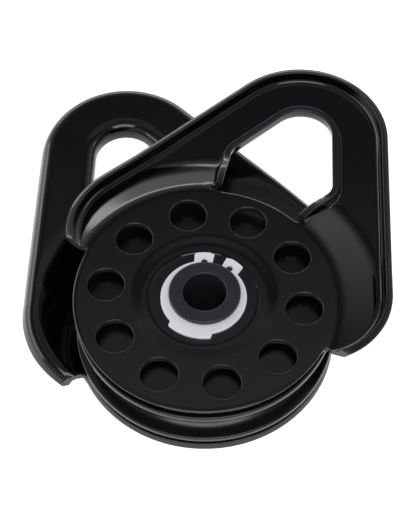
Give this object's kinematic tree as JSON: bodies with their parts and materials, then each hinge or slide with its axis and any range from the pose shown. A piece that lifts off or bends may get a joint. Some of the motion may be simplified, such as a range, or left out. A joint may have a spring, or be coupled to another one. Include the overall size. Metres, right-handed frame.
{
  "type": "snatch block",
  "caption": "Swing-side snatch block: two pressed steel plates with shackle eyes pivot on a hollow pin around a grooved rope sheave, held by retaining rings.",
  "frame": {"origin": "centre of the bounding box in X and Y, on the surface that the lower end of the pin stands on", "axes": "+Z along the pin, +Y midway between the two ears, +X towards the upper plate's ear"},
  "size_m": [0.1834, 0.2122, 0.0458],
  "materials": {
    "plate_paint": "gloss black powder coat",
    "sheave_paint": "gloss black paint",
    "pin_black": "satin blackened steel",
    "ring_zinc": "bright zinc plate",
    "bush_bronze": "plain turned bronze"
  },
  "bodies": {
    "lower_plate": {"lower_side_plate": "plate_paint"},
    "upper_plate": {"upper_side_plate": "plate_paint"},
    "sheave_unit": {"sheave": "sheave_paint", "sheave_bush": "bush_bronze"},
    "pin_unit": {"centre_pin": "pin_black", "upper_circlip": "ring_zinc", "lower_circlip": "ring_zinc"},
    "upper_washer": {"upper_thrust_washer": "bush_bronze"},
    "lower_washer": {"lower_thrust_washer": "bush_bronze"}
  },
  "joints": [
    {"name": "upper_plate_swing", "type": "hinge", "parent": "lower_plate", "child": "upper_plate", "pos_m": [0, -0.04194, 0.0229], "axis": [0, 0, 1], "continuous": true},
    {"name": "sheave_spin", "type": "hinge", "parent": "lower_plate", "child": "sheave_unit", "pos_m": [0, -0.04194, 0.0229], "axis": [0, 0, 1], "continuous": true},
    {"name": "pin_turn", "type": "hinge", "parent": "lower_plate", "child": "pin_unit", "pos_m": [0, -0.04194, 0.0229], "axis": [0, 0, 1], "continuous": true},
    {"name": "upper_washer_turn", "type": "hinge", "parent": "lower_plate", "child": "upper_washer", "pos_m": [0, -0.04194, 0.0229], "axis": [0, 0, 1], "continuous": true},
    {"name": "lower_washer_turn", "type": "hinge", "parent": "lower_plate", "child": "lower_washer", "pos_m": [0, -0.04194, 0.0229], "axis": [0, 0, 1], "continuous": true}
  ]
}
